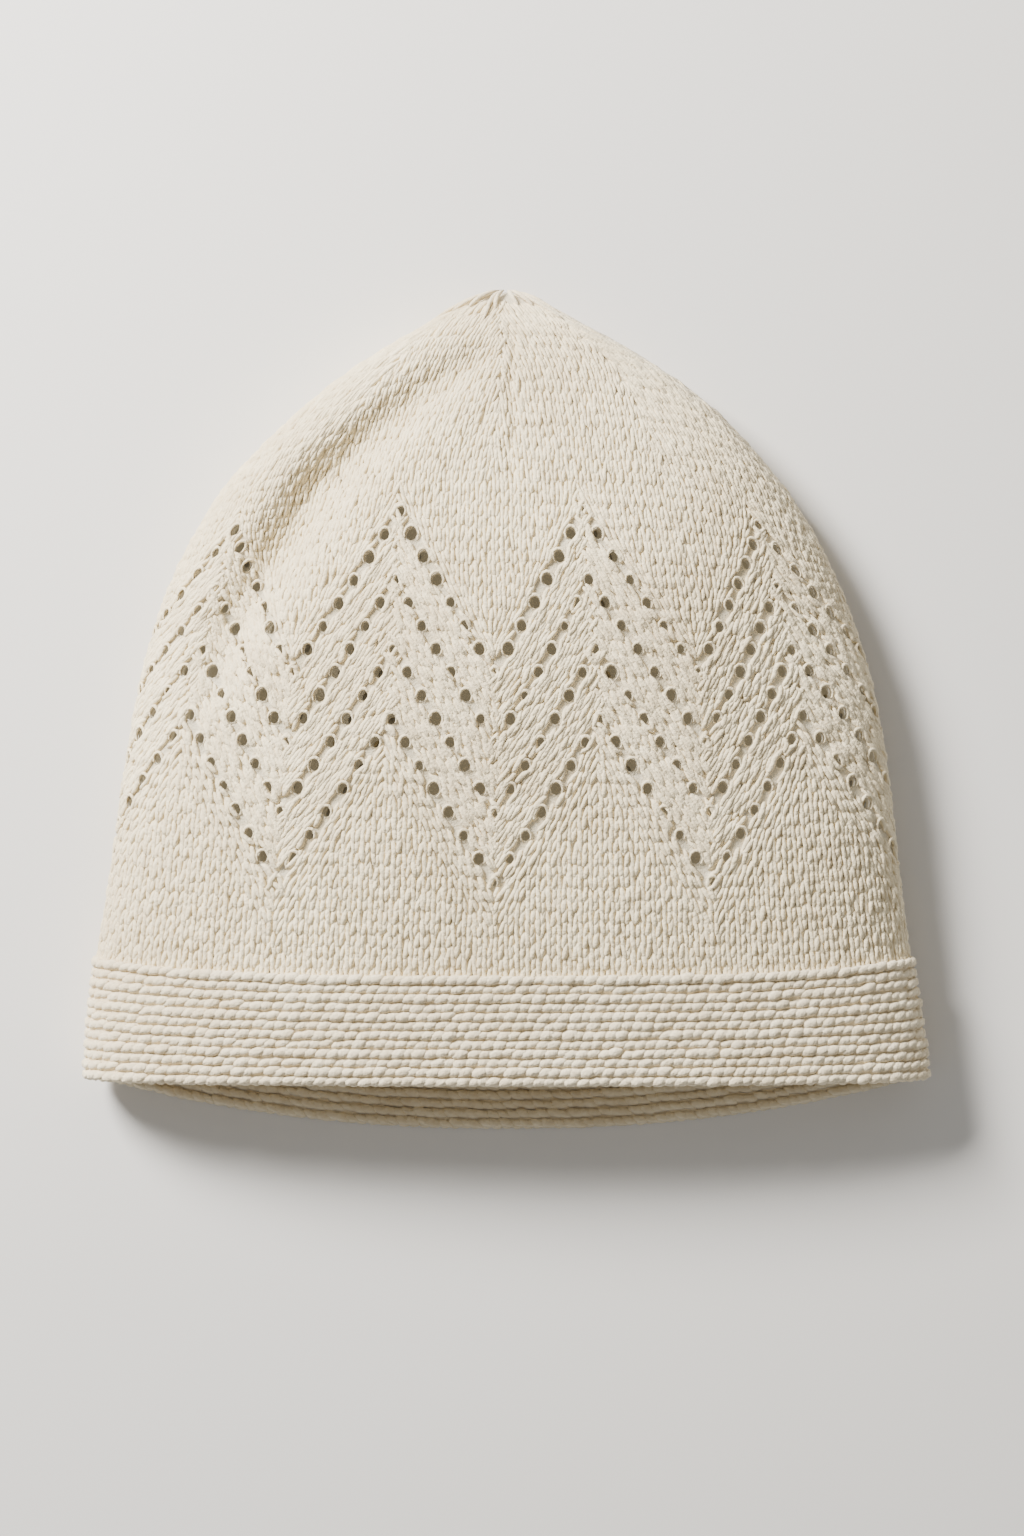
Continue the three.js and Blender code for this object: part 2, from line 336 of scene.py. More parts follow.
def read_table(table, column, at):
    """A smooth value from a short table, through every row."""
    keys = table[:, 0]
    values = table[:, column]
    last = len(keys) - 1
    low = np.clip(np.searchsorted(keys, at) - 1, 0, last - 1)
    before = np.maximum(np.arange(last + 1) - 1, 0)
    after = np.minimum(np.arange(last + 1) + 1, last)
    slopes = (values[after] - values[before]) / (keys[after] - keys[before])
    span = keys[low + 1] - keys[low]
    s = np.clip((at - keys[low]) / span, 0, 1)
    s2 = s * s
    s3 = s2 * s
    return (
        (2 * s3 - 3 * s2 + 1) * values[low]
        + (s3 - 2 * s2 + s) * span * slopes[low]
        + (3 * s2 - 2 * s3) * values[low + 1]
        + (s3 - s2) * span * slopes[low + 1]
    )


def line_height(line, course):
    """Height along Y of a course on the line up the front, the side folds or the back."""
    rim, band_top = line
    on_band = rim + (band_top - rim) * course / BAND_COURSE
    above = band_top + (TIP_LINE - band_top) * (course - BAND_COURSE) / (1 - BAND_COURSE)
    return np.where(course < BAND_COURSE, on_band, above)


def side_height(course):
    """Height along Y of a course on the side folds, where rows hang lower."""
    up = np.clip((course - ROW_DROOP_START) / (1 - ROW_DROOP_START), 0, 1)
    return line_height(SIDE_LINE, course) - ROW_DROOP * 4 * up * up * (1 - up)


def front_relief(x, y):
    """The soft valley and the swells at a place on the front."""
    nearest = np.full(x.shape, np.inf)
    depth = np.zeros(x.shape)
    for a, b in zip(VALLEY[:-1], VALLEY[1:]):
        run = b[:2] - a[:2]
        s = np.clip(((x - a[0]) * run[0] + (y - a[1]) * run[1]) / (run @ run), 0, 1)
        reach = a[3] + (b[3] - a[3]) * s
        away = np.hypot(x - a[0] - s * run[0], y - a[1] - s * run[1]) / reach
        closer = away < nearest
        nearest = np.where(closer, away, nearest)
        depth = np.where(closer, (a[2] + (b[2] - a[2]) * s) * np.exp(-away * away), depth)
    swell = sum(h * np.exp(-((x - sx) ** 2 + (y - sy) ** 2) / reach**2) for sx, sy, h, reach in SWELLS)
    return swell - depth


def surface_points(course, across, front):
    """Points of the cap's outer surface: across runs from -1 at the left fold to 1 at the right one."""
    fold_y = side_height(course)
    left = read_table(OUTLINE, 1, fold_y)
    right = read_table(OUTLINE, 2, fold_y)
    half = np.maximum(np.where(across < 0, left, right), 0)
    fold = read_table(SECTION, 1, course)
    edge = read_table(SECTION, 2, course)
    crest = read_table(SECTION, 3, course)
    away = np.abs(across)
    closing = np.clip((course - TIP_START) / (1 - TIP_START), 0, 1)
    opened = np.sqrt(np.maximum(1 - closing * closing, 0))
    x = across * half
    if front:
        roundness = np.maximum(2 * half * FOLD_RADIUS / (edge - fold) ** 2, 2)
        shoulder = np.sqrt(np.maximum(1 - away**roundness, 0))
        middle = line_height(FRONT_LINE, course)
        y = middle + (fold_y - middle) * away**FRONT_LINE_BEND
        z = fold + (edge - fold) * shoulder + (crest - edge) * (1 - away * away)
        z = z + front_relief(x, y) * shoulder
    else:
        reach = np.minimum(UNDER_FOLD_REACH, half * UNDER_FOLD_SHARE)
        into = np.clip((away * half - (half - reach)) / np.maximum(reach, TINY), 0, 1)
        middle = line_height(BACK_LINE, course)
        y = middle + (fold_y - middle) * away**BACK_LINE_BEND
        z = fold * (1 - np.sqrt(np.maximum(1 - into * into, 0)))
    z = TIP_HEIGHT + (z - TIP_HEIGHT) * opened
    return np.stack(np.broadcast_arrays(x, y, z), axis=-1)


class CapSurface:
    """The outer surface as a fine net, evenly spaced along each course, with its outward directions."""

    def __init__(self):
        rise = np.linspace(0, np.pi / 2, TIP_STEPS + 1)[1:]
        low = np.linspace(0, TIP_START, COURSE_STEPS)
        self.courses = np.concatenate([low, TIP_START + (1 - TIP_START) * np.sin(rise)])
        across = -np.cos(np.linspace(0, np.pi, TURN_STEPS + 1))
        share = np.linspace(0, 1, TURN_STEPS + 1)
        sides = []
        self.lengths = []
        for front in (True, False):
            points = surface_points(self.courses[:, None], across[None, :], front)
            steps = np.linalg.norm(np.diff(points, axis=1), axis=2)
            walked = np.concatenate([np.zeros((len(points), 1)), np.cumsum(steps, axis=1)], axis=1)
            even = np.empty_like(points)
            for i, (row, walk) in enumerate(zip(points, walked)):
                even[i] = row[0]
                if walk[-1] > 0:
                    for k in range(3):
                        even[i, :, k] = np.interp(share * walk[-1], walk, row[:, k])
            sides.append(even if front else even[:, ::-1])
            self.lengths.append(walked[:, -1])
        self.net = np.concatenate([sides[0][:, :-1], sides[1][:, :-1]], axis=1)
        self.out = self.outward()

    def outward(self):
        """Outward directions of the net. The last courses, too short to show one, take it from below."""
        up = np.gradient(self.net, axis=0)
        up[-2:] = up[-3]
        turn = np.roll(self.net, -SMOOTHED_STEPS, axis=1) - np.roll(self.net, SMOOTHED_STEPS, axis=1)
        out = np.cross(turn, up)
        out = unit(sum(np.roll(out, k, axis=1) for k in range(-SMOOTHED_STEPS, SMOOTHED_STEPS + 1)))
        out[-4:] = out[-5]
        return out

    def look_up(self, net, course, turn):
        """Values of a net between its points."""
        i = np.interp(course, self.courses, np.arange(len(self.courses)))
        j = np.mod(turn, 2) * TURN_STEPS
        i0 = np.minimum(i.astype(int), len(self.courses) - 2)
        j0 = j.astype(int)
        fi = (i - i0)[..., None]
        fj = (j - j0)[..., None]
        count = net.shape[1]
        a = j0 % count
        b = (j0 + 1) % count
        low = net[i0, a] * (1 - fj) + net[i0, b] * fj
        high = net[i0 + 1, a] * (1 - fj) + net[i0 + 1, b] * fj
        return low * (1 - fi) + high * fi

    def place(self, course, stitch, offset):
        """Points and outward directions at stitches of a course, moved outwards by offset."""
        turn = turn_of(stitch)
        out = unit(self.look_up(self.out, course, turn))
        return self.look_up(self.net, course, turn) + out * np.asarray(offset)[..., None], out

    def stitch_width(self, course, stitch):
        """Width of a stitch, in millimetres."""
        front = np.interp(course, self.courses, self.lengths[0]) / FRONT_STITCHES
        back = np.interp(course, self.courses, self.lengths[1]) / BACK_STITCHES
        return np.where(np.mod(stitch, STITCHES) < FRONT_STITCHES, front, back)

    def row_height(self, row, stitch):
        """Height of a row at a stitch, in millimetres, from the half row round it."""
        low, _ = self.place(course_of_row(row - 0.25), stitch, np.zeros(np.shape(stitch)))
        high, _ = self.place(course_of_row(row + 0.25), stitch, np.zeros(np.shape(stitch)))
        return np.linalg.norm(high - low, axis=-1) * 2


def turn_of(stitch):
    """Turn round the cap: 0 to 1 over the front from left to right, 1 to 2 over the back."""
    s = np.mod(stitch, STITCHES)
    return np.where(s <= FRONT_STITCHES, s / FRONT_STITCHES, 1 + (s - FRONT_STITCHES) / BACK_STITCHES)


def course_of_row(row):
    """Course of a row of the body: row 0 is at the band's top edge."""
    return np.clip(BAND_COURSE + (1 - BAND_COURSE) * np.asarray(row, float) / BODY_ROWS, 0, 1)


def rest_on_table(points, reach):
    """Presses what would reach below the table up onto it, and keeps it rounded."""
    z = points[..., 2]
    pressed = (z + reach) * PRESS_HEIGHT / (PRESS_HEIGHT + reach)
    points[..., 2] = np.maximum(np.where(z < PRESS_HEIGHT, pressed, z), 0)
    return points


def crease_at(points):
    """How much of the crown's narrow crease there is at each point, from 0 to 1."""
    y = points[..., 1]
    x = points[..., 0] - CREASE_LINE - CREASE_WAVER * np.sin(y * CREASE_WAVES)
    low, low_fade = CREASE_LOW_END
    high, high_fade = CREASE_HIGH_END
    share = np.clip((y - low) / low_fade, 0, 1) * np.clip((high - y) / high_fade, 0, 1)
    return np.where(points[..., 2] > CREASE_LOWEST, np.exp(-((x / CREASE_WIDTH) ** 2)) * share, 0)


SURFACE = CapSurface()


# Places of the stitches and the eyelets


def from_valley(stitch):
    """Signed stitches from the nearest low turn of the zigzag."""
    half = REPEAT_STITCHES / 2
    return np.mod(stitch - VALLEY_STITCH + half, REPEAT_STITCHES) - half


def lace_step(stitch, row):
    """Wales along a row from the lowest line of eyelets, negative towards the highest."""
    rise = row - EYELET_VALLEY_ROW
    return (np.abs(from_valley(stitch)) - LEAN * rise) / LACE_SPACING


def eyelet_places():
    """Stitch and row of every eyelet, in all four lines."""
    places = []
    steps = 2 * EYELET_LEG_STEPS
    for line in range(EYELET_LINES):
        for i in range(EYELET_REPEATS * steps):
            step = i % steps
            climb = min(step, steps - step)
            row = EYELET_VALLEY_ROW + line * LINE_ROWS + EYELET_STEP_ROWS * climb
            places.append(((VALLEY_STITCH + i * REPEAT_STITCHES / steps) % STITCHES, row))
    return np.array(places)


def eyelet_sizes():
    """How large each eyelet is next to the usual one."""
    sizes = 1 + np.random.default_rng(5).normal(0, EYELET_VARIETY, len(EYELETS))
    bend = np.abs(from_valley(EYELETS[:, 0]))
    sizes[bend < TURN_REACH] *= LOW_TURN_SIZE
    sizes[bend > REPEAT_STITCHES / 2 - TURN_REACH] *= HIGH_TURN_SIZE
    return np.clip(sizes, *EYELET_SIZE_LIMITS)


EYELETS = eyelet_places()
EYELET_SIZES = eyelet_sizes()


def open_eyelets(stitch, row, width, height, hole):
    """Moves yarn out of the eyelets, and says how many radii each point was from the nearest one."""
    flat = [v.ravel() for v in (stitch, row, width, height)]
    out = [np.empty(stitch.size) for _ in range(3)]
    for start in range(0, stitch.size, POINTS_AT_ONCE):
        part = slice(start, start + POINTS_AT_ONCE)
        s, r, w, h = (v[part] for v in flat)
        across = np.mod(s[:, None] - EYELETS[None, :, 0] + STITCHES / 2, STITCHES) - STITCHES / 2
        across = across * w[:, None] / (hole[0] * EYELET_SIZES[None, :])
        along = (r[:, None] - EYELETS[None, :, 1]) * h[:, None] / (hole[1] * EYELET_SIZES[None, :])
        away = np.hypot(across, along)
        near = np.argmin(away, axis=1)
        pick = np.arange(len(s))
        d = np.maximum(away[pick, near], 1e-3)
        push = np.where(d < MOVED_WITHIN, (d**4 + 1) ** 0.25 / d, 1)
        push = (push - 1) * EYELET_SIZES[near]
        out[0][part] = s + across[pick, near] * push * hole[0] / w
        out[1][part] = r + along[pick, near] * push * hole[1] / h
        out[2][part] = d
    return tuple(v.reshape(stitch.shape) for v in out)


def plain_cells():
    """Stitches of the plain knitting below the eyelets and up to the crown: stitch, row, lean, scale."""
    rows, wales = np.meshgrid(np.arange(0, CROWN_ROW), np.arange(STITCHES) + 0.5, indexing="ij")
    row = rows.ravel().astype(float)
    stitch = wales.ravel()
    step = lace_step(stitch, row)
    keep = (step > PLAIN_GAP) | (step < -LACE_WALES - PLAIN_GAP)
    stitch, row, step = stitch[keep], row[keep], step[keep]
    below = np.clip(1 - (step - FADE_START) / FADE_BELOW, 0, 1)
    above = np.clip(1 - (-LACE_WALES - FADE_START - step) / FADE_ABOVE, 0, 1)
    lean = np.sign(from_valley(stitch)) * LEAN * np.where(step > 0, below, above)
    return np.stack([stitch, row, lean, np.ones(len(stitch))], axis=1)


def lace_cells():
    """Stitches between the lines of eyelets, whose wales run along those lines."""
    cells = []
    half = REPEAT_STITCHES / 2
    for repeat in range(EYELET_REPEATS):
        valley = VALLEY_STITCH + repeat * REPEAT_STITCHES
        for row in range(EYELET_VALLEY_ROW - 1, CROWN_ROW):
            for wale in range(-LACE_WALES, 1):
                away = LACE_SPACING * wale + LEAN * (row - EYELET_VALLEY_ROW)
                if away < -LOW_OVERLAP or away > half + HIGH_OVERLAP:
                    continue
                for way in (-1, 1):
                    cells.append((valley + way * away, row, way * LEAN, LACE_SPACING))
    cells = np.array(cells)
    cells[:, 0] = np.mod(cells[:, 0], STITCHES)
    return cells


def crown_cells():
    """Stitches of the crown: each repeat narrows to the tip, and wales end where two repeats meet."""
    cells = []
    half = REPEAT_STITCHES / 2
    rows = np.arange(CROWN_ROW, BODY_ROWS - 1)
    lengths = np.interp(course_of_row(rows), SURFACE.courses, SURFACE.lengths[0])
    spread = (lengths[0] / lengths) ** CROWN_NARROWING
    steepness = np.gradient(spread)
    for repeat in range(EYELET_REPEATS):
        middle = VALLEY_STITCH + (repeat + 0.5) * REPEAT_STITCHES
        for row, wide, steep in zip(rows, spread, steepness):
            for wale in range(-CROWN_WALES, CROWN_WALES + 1):
                away = wale * wide
                if abs(away) > half + HIGH_OVERLAP * wide:
                    continue
                cells.append((middle + away, row, wale * steep, wide))
    cells = np.array(cells)
    cells[:, 0] = np.mod(cells[:, 0], STITCHES)
    return cells


# Strands of yarn: each function gives centre points, outward directions, half widths and half thicknesses


def tapered(bow, ends):
    """Thickness along a strand: whole in the middle, and this share of it at the ends."""
    return (ends + (1 - ends) * bow)[None]


def knitted_legs(cells, sizes, rings, seed):
    """The two slanted legs of yarn of each stitch, lying in the knitted surface."""
    random = np.random.default_rng(seed)
    count = len(cells)
    stitch, row, lean, scale = cells.T
    width = SURFACE.stitch_width(course_of_row(row), stitch) * scale
    height = SURFACE.row_height(np.clip(row, *MEASURED_ROWS), stitch)
    stitch = stitch + random.normal(0, STITCH_STRAY, count) * scale
    row = row + random.normal(0, ROW_STRAY, count)
    in_rope = scale[:, None] == LACE_SPACING
    step_down, stray, rise, fill = (np.where(in_rope, *pair) for pair in zip(ROPE_LEG, PLAIN_LEG))
    hole = (sizes.hole_width + EYELET_MARGIN[0], sizes.hole_height + EYELET_MARGIN[1])
    u = np.linspace(0, 1, rings)
    bow = np.maximum(np.sin(np.pi * u), 0)
    legs = []
    for way in (-1, 1):
        size = 1 + random.normal(0, LEG_VARIETY, count)
        x = way * (LEG_START + LEG_SLANT * u**LEG_BEND)[None] * width[:, None]
        x = x + random.normal(0, LEG_STRAY, (count, 1))
        y = LEG_REACH * (2 * u - 1)[None] * height[:, None] + stray * random.normal(0, 1, (count, 1))
        full = np.broadcast_to(width[:, None], x.shape)
        whole = full / scale[:, None]
        high = np.broadcast_to(height[:, None], x.shape)
        s = stitch[:, None] + x / whole + lean[:, None] * y / high
        r = row[:, None] + y / high
        s, r, away = open_eyelets(s, r, whole, high, hole)
        r = np.clip(r, *LEG_ROWS)
        raised = EDGE_HEIGHT * np.exp(-((away - EDGE_PLACE) ** 2) / EDGE_FADE)
        lift = LEG_LIFT + random.normal(0, LIFT_STRAY, (count, 1))
        depth = -LEG_DEPTH + lift * bow[None] ** rise - step_down * u[None] ** STEP_BEND + raised
        points, outs = SURFACE.place(course_of_row(r), s, depth)
        points -= outs * (crease_at(points) * sizes.crease)[..., None]
        thick = sizes.yarn_radius * LEG_THICKNESS * size[:, None] * tapered(bow, 0.5)
        wide = np.minimum(sizes.yarn_radius, full * fill) * size[:, None] * tapered(bow, 0.6)
        thick = np.minimum(thick, wide * LEG_ROUNDEST)
        keep = away.min(axis=1) > LEFT_OUT_WITHIN
        legs.append((points[keep], outs[keep], wide[keep], thick[keep]))
    return [np.concatenate(part) for part in zip(*legs)]


def yarn_overs(sizes, seed):
    """The loop of yarn that arches over each eyelet, highest at its top."""
    random = np.random.default_rng(seed)
    count = len(EYELETS)
    angle = np.radians(np.linspace(-LOOP_TURN, LOOP_TURN, LOOP_RINGS))
    stitch, row = EYELETS[:, 0], EYELETS[:, 1]
    width = SURFACE.stitch_width(course_of_row(row), stitch)[:, None]
    height = SURFACE.row_height(row, stitch)[:, None]
    size = EYELET_SIZES[:, None] * (1 + random.normal(0, LOOP_VARIETY, (count, 1)))
    tilt = random.normal(0, LOOP_TILT, (count, 1))
    half_width = (sizes.hole_width + LOOP_MARGIN[0]) * size
    half_height = (sizes.hole_height + LOOP_MARGIN[1]) * size
    s = stitch[:, None] + half_width * np.sin(angle + tilt) / width
    r = row[:, None] + half_height * np.cos(angle + tilt) / height
    depth = -LOOP_DEPTH + LOOP_LIFT * np.cos(angle * 0.5)
    points, outs = SURFACE.place(course_of_row(r), s, np.broadcast_to(depth, s.shape))
    bow = np.clip(np.cos(angle * 0.52), 0.3, 1)
    wide = np.broadcast_to(sizes.yarn_radius * LOOP_THICKNESS * bow[None], s.shape)
    return points, outs, wide, wide * 0.95


def gathered_strands(sizes, seed):
    """Short strands that draw the last stitches together at the tip."""
    random = np.random.default_rng(seed)
    u = np.linspace(0, 1, TIP_RINGS)
    bow = np.sin(np.pi * u)
    each = (TIP_STRANDS, 1)
    stitch = STITCHES * (np.arange(TIP_STRANDS) + random.normal(0, TIP_STRAY, TIP_STRANDS)) / TIP_STRANDS
    reach = TIP_REACH * (1 + random.normal(0, TIP_STRAY, each))
    s = stitch[:, None] + TIP_TWIST * u[None]
    depth = -TIP_DEPTH + TIP_LIFT * bow[None] + random.normal(0, TIP_VARIETY, each)
    points, outs = SURFACE.place(TIP_COURSE - reach * u[None], s, depth)
    size = 1 + random.normal(0, TIP_VARIETY, each)
    wide = sizes.yarn_radius * TIP_THICKNESS * tapered(bow, 0.45) * size
    return points, outs, wide, wide


def ridge_bumps(sizes, inside, seed):
    """The slanted bumps of the band's ridges, so that each ridge reads as a rope."""
    random = np.random.default_rng(seed)
    ridge, bump = np.meshgrid(np.arange(BAND_RIDGES), np.arange(STITCHES), indexing="ij")
    each = (bump.size, 1)
    ridge = ridge.ravel().astype(float)
    stitch = bump.ravel() + BUMP_SHIFT * ridge + random.normal(0, BUMP_STRAY_ROUND, bump.size)
    course = BAND_COURSE * (ridge + 0.5) / BAND_RIDGES
    pitch = (FRONT_LINE[1] - FRONT_LINE[0]) / BAND_RIDGES
    u = np.linspace(-1, 1, BUMP_RINGS)
    bow = np.cos(u * np.pi / 2)
    y = BUMP_SLANT * u[None] + random.normal(0, BUMP_STRAY_UP, each)
    s = stitch[:, None] + u[None]
    c = np.clip(course[:, None] + BAND_COURSE / BAND_RIDGES * y / pitch, 0.0005, BAND_COURSE)
    size = 1 + random.normal(0, BUMP_VARIETY, each)
    proud = np.where(ridge % 2 == 1, ODD_RIDGE, EVEN_RIDGE)[:, None]
    proud = proud + random.normal(0, BUMP_STRAY_OUT, each)
    proud = proud + np.where(ridge == BAND_RIDGES - 1, TOP_RIDGE, 0)[:, None]
    depth, lift = BUMP_INSIDE if inside else BUMP_OUTSIDE
    outwards = -1 if inside else 1
    points, outs = SURFACE.place(c, s, depth + lift * bow[None] + outwards * proud)
    wide = sizes.ridge_radius * size * tapered(bow, 0.45)
    return points, outs, wide, wide * BUMP_FLATNESS


def rim_bumps(sizes, seed):
    """The row of bumps that closes the rim's edge, between the outside and the inside."""
    random = np.random.default_rng(seed)
    stitch = np.arange(STITCHES) + random.normal(0, RIM_VARIETY, STITCHES)
    u = np.linspace(-1, 1, BUMP_RINGS)
    bow = np.cos(u * np.pi / 2)
    s = stitch[:, None] + RIM_REACH * u[None]
    depth = np.broadcast_to(-RIM_DEPTH + RIM_TURN * u[None], s.shape)
    points, outs = SURFACE.place(np.full(s.shape, RIM_COURSE), s, depth)
    size = 1 + random.normal(0, RIM_VARIETY, (STITCHES, 1))
    wide = RIM_SIZE * sizes.ridge_radius * tapered(bow, 0.35) * size
    return points, outs, wide, wide * 0.95


# Meshes


def piece_object(name, points, faces, material):
    """One mesh from points in millimetres and lists of quads or triangles, riding on the cap."""
    triangles = sum(len(f) * (f.shape[1] - 2) for f in faces)
    if triangles >= MOST_TRIANGLES:
        raise RuntimeError(f"{name} has {triangles} triangles")
    mesh = bpy.data.meshes.new(name)
    points = (points + SHIFT) * MM
    mesh.vertices.add(len(points))
    mesh.vertices.foreach_set("co", points.astype(np.float32).ravel())
    corners = np.concatenate([f.ravel() for f in faces]).astype(np.int32)
    corner_counts = np.concatenate([np.full(len(f), f.shape[1]) for f in faces])
    starts = np.concatenate([[0], np.cumsum(corner_counts)[:-1]]).astype(np.int32)
    mesh.loops.add(len(corners))
    mesh.loops.foreach_set("vertex_index", corners)
    mesh.polygons.add(len(starts))
    mesh.polygons.foreach_set("loop_start", starts)
    mesh.update(calc_edges=True)
    mesh.validate()
    mesh.shade_smooth()
    mesh.materials.append(material)
    piece = bpy.data.objects.new(name, mesh)
    bpy.context.scene.collection.objects.link(piece)
    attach(piece, "root")
    print(f"piece {name}: {triangles} triangles")
    return piece


def yarn_pods(centres, outs, widths, thicks, sides):
    """Closed strands of yarn, pointed at both ends, from centre points (strand, ring, xyz)."""
    count, rings = centres.shape[:2]
    along = unit(np.gradient(centres, axis=1))
    across = unit(np.cross(along, outs))
    up = np.cross(across, along)
    angles = 2 * np.pi * np.arange(sides) / sides
    inner = slice(1, rings - 1)
    body = (
        centres[:, inner, None]
        + across[:, inner, None] * (widths[:, inner, None] * np.cos(angles))[..., None]
        + up[:, inner, None] * (thicks[:, inner, None] * np.sin(angles))[..., None]
    )
    body += np.random.default_rng(count).normal(0, UNEVEN_YARN, body.shape)
    tubes = rings - 2
    per = tubes * sides + 2
    points = np.concatenate([centres[:, :1], body.reshape(count, -1, 3), centres[:, -1:]], axis=1)
    quads = []
    ends = []
    for k in range(sides):
        n = (k + 1) % sides
        last = 1 + (tubes - 1) * sides
        ends += [(0, 1 + n, 1 + k), (per - 1, last + k, last + n)]
        for ring in range(tubes - 1):
            a = 1 + ring * sides
            quads.append((a + k, a + n, a + sides + n, a + sides + k))
    base = (np.arange(count) * per)[:, None, None]
    quads = (np.array(quads)[None] + base).reshape(-1, 4)
    ends = (np.array(ends)[None] + base).reshape(-1, 3)
    return points.reshape(-1, 3), [quads, ends]


def double_net(outer, inner):
    """Two nets: their points, the outer one's numbers and quads, and the strip that closes the rim."""
    points = np.concatenate([outer.reshape(-1, 3), inner.reshape(-1, 3)])
    index = np.arange(len(points) // 2).reshape(outer.shape[:2])
    right = np.roll(index, -1, axis=1)
    quads = np.stack([index[:-1], right[:-1], right[1:], index[1:]], axis=-1)
    rim = np.stack([index[0], index[0] + index.size, right[0] + index.size, right[0]], axis=-1)
    return points, index, quads, rim


def cut_eyelets(stitch, row, sizes):
    """Moves the eight net points round each eyelet onto its edge, and lists its middle and those points."""
    holes = []
    for (s, r), size in zip(EYELETS, EYELET_SIZES):
        k = int(round(2 * s)) % CLOTH_COLUMNS
        m = int(round(2 * r))
        ring = [(m - 1, k - 1), (m - 1, k), (m - 1, k + 1), (m, k + 1)]
        ring += [(m + 1, k + 1), (m + 1, k), (m + 1, k - 1), (m, k - 1)]
        ring = [(a, b % CLOTH_COLUMNS) for a, b in ring]
        width = SURFACE.stitch_width(course_of_row(r), np.array(s))
        height = SURFACE.row_height(np.array(r), np.array(s))
        for (a, b), angle in zip(ring, np.radians(225 + 45 * np.arange(8))):
            stitch[a, b] = s + size * sizes.hole_width * np.cos(angle) / width
            row[a, b] = r + size * sizes.hole_height * np.sin(angle) / height
        holes.append((m, k, ring))
    return holes


def drop_loose_points(piece):
    """Removes points that no face uses, such as the middles of the eyelets."""
    edit = bmesh.new()
    edit.from_mesh(piece.data)
    bmesh.ops.delete(edit, geom=[v for v in edit.verts if not v.link_faces], context="VERTS")
    edit.to_mesh(piece.data)
    edit.free()


def tip_shift():
    """Where the cap's own measure lies in the frame: the tip is its furthest point along Y."""
    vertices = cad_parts["knitted_body"].data.vertices
    tip = max((v.co for v in vertices), key=lambda co: co.y)
    return np.array([tip.x / MM, tip.y / MM - TIP_LINE, tip.z / MM - TIP_HEIGHT])


SHIFT = tip_shift()


# Materials


def linear(hex_colour):
    """An sRGB hex colour as the linear colour that a shader takes."""
    value = hex_colour.lstrip("#")
    parts = [int(value[i : i + 2], 16) / 255 for i in (0, 2, 4)]
    return [p / 12.92 if p <= 0.04045 else ((p + 0.055) / 1.055) ** 2.4 for p in parts] + [1.0]


def add_node(material, kind, settings=None, links=None):
    """Adds a node, sets its properties and input values, and links its inputs."""
    tree = material.node_tree
    node = tree.nodes.new(kind)
    for name, value in (settings or {}).items():
        if name in node.inputs:
            node.inputs[name].default_value = value
        else:
            setattr(node, name, value)
    for name, source in (links or {}).items():
        tree.links.new(source, node.inputs[name])
    return node


# Cotton yarn is spun from short fibres and left unpolished: matt, with a soft bright edge from its fuzz.
# Neighbouring stitches differ a little in warmth, and two plies cross the strand about once a millimetre.
def cotton_yarn(name, light, dark, ply_mm, fuzz_mm, painted_glow=0):
    """One finish of the cotton, made once and shared by the pieces that have it."""
    if name in bpy.data.materials:
        return bpy.data.materials[name]
    material = bpy.data.materials.new(name)
    material.use_nodes = True
    material.node_tree.nodes.clear()
    place = add_node(material, "ShaderNodeTexCoord").outputs["Object"]
    patches = add_node(
        material, "ShaderNodeTexNoise", {"Scale": 1 / (PATCH_MM * MM), "Detail": 3.0}, {"Vector": place}
    )
    stitches = add_node(
        material, "ShaderNodeTexNoise", {"Scale": 1 / (STITCH_MM * MM), "Detail": 2.0}, {"Vector": place}
    )
    both = add_node(
        material,
        "ShaderNodeMath",
        {"operation": "ADD"},
        {0: patches.outputs["Fac"], 1: stitches.outputs["Fac"]},
    )
    ramp = add_node(
        material,
        "ShaderNodeMapRange",
        {"From Min": 0.7, "From Max": 1.3},
        {"Value": both.outputs["Value"]},
    )
    # A Mix node has its colours at inputs 6 and 7 and at output 2
    colour = add_node(material, "ShaderNodeMix", {"data_type": "RGBA"}, {"Factor": ramp.outputs["Result"]})
    colour.inputs[6].default_value = linear(dark)
    colour.inputs[7].default_value = linear(light)
    # The plies show in every third wave
    plies = add_node(
        material,
        "ShaderNodeTexWave",
        {"bands_direction": "DIAGONAL", "Scale": 1 / (ply_mm * MM * 3), "Distortion": 3.0, "Detail": 1.0},
        {"Vector": place},
    )
    fuzz = add_node(
        material, "ShaderNodeTexNoise", {"Scale": 1 / (fuzz_mm * MM), "Detail": 4.0}, {"Vector": place}
    )
    coarse = add_node(
        material,
        "ShaderNodeBump",
        {"Strength": 0.25, "Distance": 0.12 * MM},
        {"Height": plies.outputs["Fac"]},
    )
    fine = add_node(
        material,
        "ShaderNodeBump",
        {"Strength": 1.0, "Distance": 0.42 * MM},
        {"Height": fuzz.outputs["Fac"], "Normal": coarse.outputs["Normal"]},
    )
    shader = add_node(
        material,
        "ShaderNodeBsdfPrincipled",
        {"Roughness": 0.95, "Specular IOR Level": 0.2, "Sheen Weight": 0.3, "Sheen Roughness": 0.6},
        {"Base Color": colour.outputs[2], "Normal": fine.outputs["Normal"]},
    )
    # Painted light: an emission that lights the cloth in place of light coming through the knitting; it is zero
    # for the yarn
    shader.inputs["Emission Color"].default_value = linear(PAINTED_GLOW_COLOUR)
    shader.inputs["Emission Strength"].default_value = painted_glow
    add_node(material, "ShaderNodeOutputMaterial", {}, {"Surface": shader.outputs["BSDF"]})
    return material


# Plain knitted: small even stitches, their edges softened by fuzz
def body_cotton(colours):
    name = "cream cotton yarn, plain knitted"
    return cotton_yarn(name, colours.body_light, colours.body_dark, PLY_MM, BODY_FUZZ_MM)


